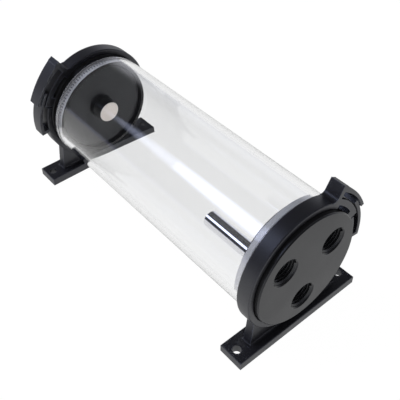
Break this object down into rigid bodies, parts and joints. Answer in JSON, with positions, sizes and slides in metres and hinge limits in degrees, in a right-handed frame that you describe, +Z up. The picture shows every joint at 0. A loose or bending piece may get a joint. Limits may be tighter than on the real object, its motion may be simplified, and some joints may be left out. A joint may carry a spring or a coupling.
{
  "type": "water cooling reservoir",
  "caption": "Horizontal clear tube reservoir with black threaded end caps, one with ports and an inner standpipe, held in two snap-ring foot brackets.",
  "frame": {"origin": "middle of the reservoir on the surface its feet stand on", "axes": "+X along the tube towards the cap with the ports, +Z up from the feet, +Y towards the side that the port end bracket's clasp is on"},
  "size_m": [0.1692, 0.0746, 0.074],
  "materials": {
    "tube_acrylic": "clear polished cast acrylic",
    "insert_aluminium": "clear anodised, straight knurl, bright collar",
    "cap_acetal": "turned black acetal, satin",
    "seal_rubber": "black rubber",
    "pipe_chrome": "polished chrome",
    "plug_nickel": "nickel plated brass",
    "bracket_plastic": "black moulded plastic, satin"
  },
  "bodies": {
    "brackets": {"port_end_bracket": "bracket_plastic", "fill_end_bracket": "bracket_plastic"},
    "tank": {"reservoir_tube": "tube_acrylic", "port_end_insert": "insert_aluminium", "fill_end_insert": "insert_aluminium"},
    "port_seal": {"port_cap_seal": "seal_rubber"},
    "port_end": {"port_cap": "cap_acetal", "standpipe": "pipe_chrome"},
    "fill_seal": {"fill_cap_seal": "seal_rubber"},
    "fill_end": {"fill_cap": "cap_acetal"},
    "plug_seal": {"fill_plug_seal": "seal_rubber"},
    "plug": {"fill_plug": "plug_nickel"}
  },
  "joints": [
    {"name": "tank_turn", "type": "hinge", "parent": "brackets", "child": "tank", "pos_m": [0, 0, 0.0385], "axis": [1, 0, 0], "continuous": true},
    {"name": "port_cap_lift", "type": "slide", "parent": "tank", "child": "port_seal", "axis": [1, 0, 0], "range_m": [0, 0.00263]},
    {"name": "port_cap_turn", "type": "hinge", "parent": "port_seal", "child": "port_end", "pos_m": [0.078, 0, 0.0385], "axis": [1, 0, 0], "range_deg": [0, 630]},
    {"name": "fill_cap_lift", "type": "slide", "parent": "tank", "child": "fill_seal", "axis": [-1, 0, 0], "range_m": [0, 0.00263]},
    {"name": "fill_cap_turn", "type": "hinge", "parent": "fill_seal", "child": "fill_end", "pos_m": [-0.078, 0, 0.0385], "axis": [-1, 0, 0], "range_deg": [0, 630]},
    {"name": "plug_lift", "type": "slide", "parent": "fill_end", "child": "plug_seal", "axis": [-1, 0, 0], "range_m": [0, 0.01538]},
    {"name": "plug_turn", "type": "hinge", "parent": "plug_seal", "child": "plug", "pos_m": [-0.078, 0, 0.0385], "axis": [-1, 0, 0], "range_deg": [0, 4140]}
  ],
  "couplings": [
    {"joint": "port_cap_lift", "follows": "port_cap_turn", "m_per_rad": 0.00023873},
    {"joint": "fill_cap_lift", "follows": "fill_cap_turn", "m_per_rad": 0.00023873},
    {"joint": "plug_lift", "follows": "plug_turn", "m_per_rad": 0.00021279}
  ]
}
